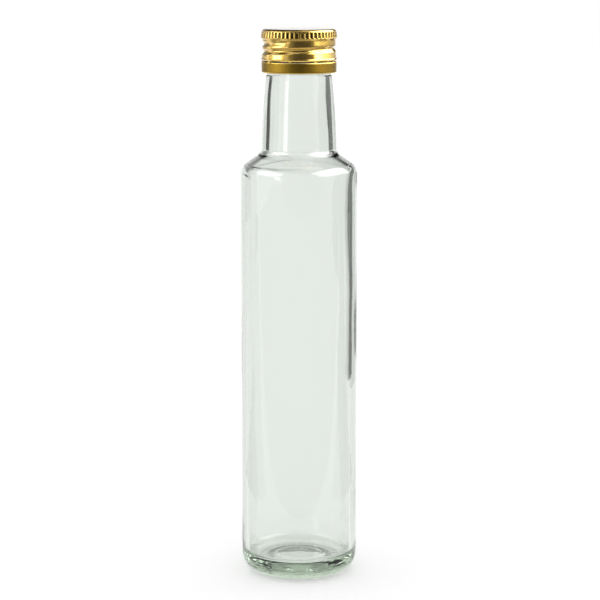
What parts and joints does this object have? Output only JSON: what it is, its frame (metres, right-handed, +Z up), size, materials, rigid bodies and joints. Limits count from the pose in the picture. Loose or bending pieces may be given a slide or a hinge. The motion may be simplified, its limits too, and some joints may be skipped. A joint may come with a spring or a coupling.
{
  "type": "glass oil bottle",
  "caption": "Slim round clear-glass oil bottle with sloped shoulder, tapered neck, pouring ring and a gold aluminium screw cap with a tamper band.",
  "frame": {"origin": "centre of the base, on the surface the bottle stands on", "axes": "+Z up along the bottle's axis, -Y towards the viewer of the picture, +X to the viewer's right"},
  "size_m": [0.049, 0.049, 0.232],
  "materials": {
    "clear_glass": "clear flint glass with a faint green cast, fire-polished",
    "natural_plastic": "milky natural polyethylene, smooth",
    "liner_foam": "white expanded polyethylene, fine matt skin",
    "gold_lacquer_gloss": "gold lacquered aluminium, glossy",
    "gold_lacquer_satin": "gold lacquered aluminium, satin"
  },
  "bodies": {
    "bottle": {"glass_bottle": "clear_glass", "pouring_ring": "natural_plastic"},
    "liner": {"sealing_liner": "liner_foam"},
    "cap": {"cap_shell": "gold_lacquer_gloss"},
    "band": {"tamper_band": "gold_lacquer_satin"}
  },
  "joints": [
    {"name": "cap_lift", "type": "slide", "parent": "bottle", "child": "liner", "axis": [0, 0, 1], "range_m": [0, 0.0191]},
    {"name": "cap_turn", "type": "hinge", "parent": "liner", "child": "cap", "pos_m": [0, 0, 0.225], "axis": [0, 0, 1], "range_deg": [0, 2160]},
    {"name": "band_turn", "type": "hinge", "parent": "bottle", "child": "band", "pos_m": [0, 0, 0.216], "axis": [0, 0, 1], "continuous": true}
  ],
  "couplings": [
    {"joint": "cap_lift", "follows": "cap_turn", "m_per_rad": 0.00050532}
  ]
}
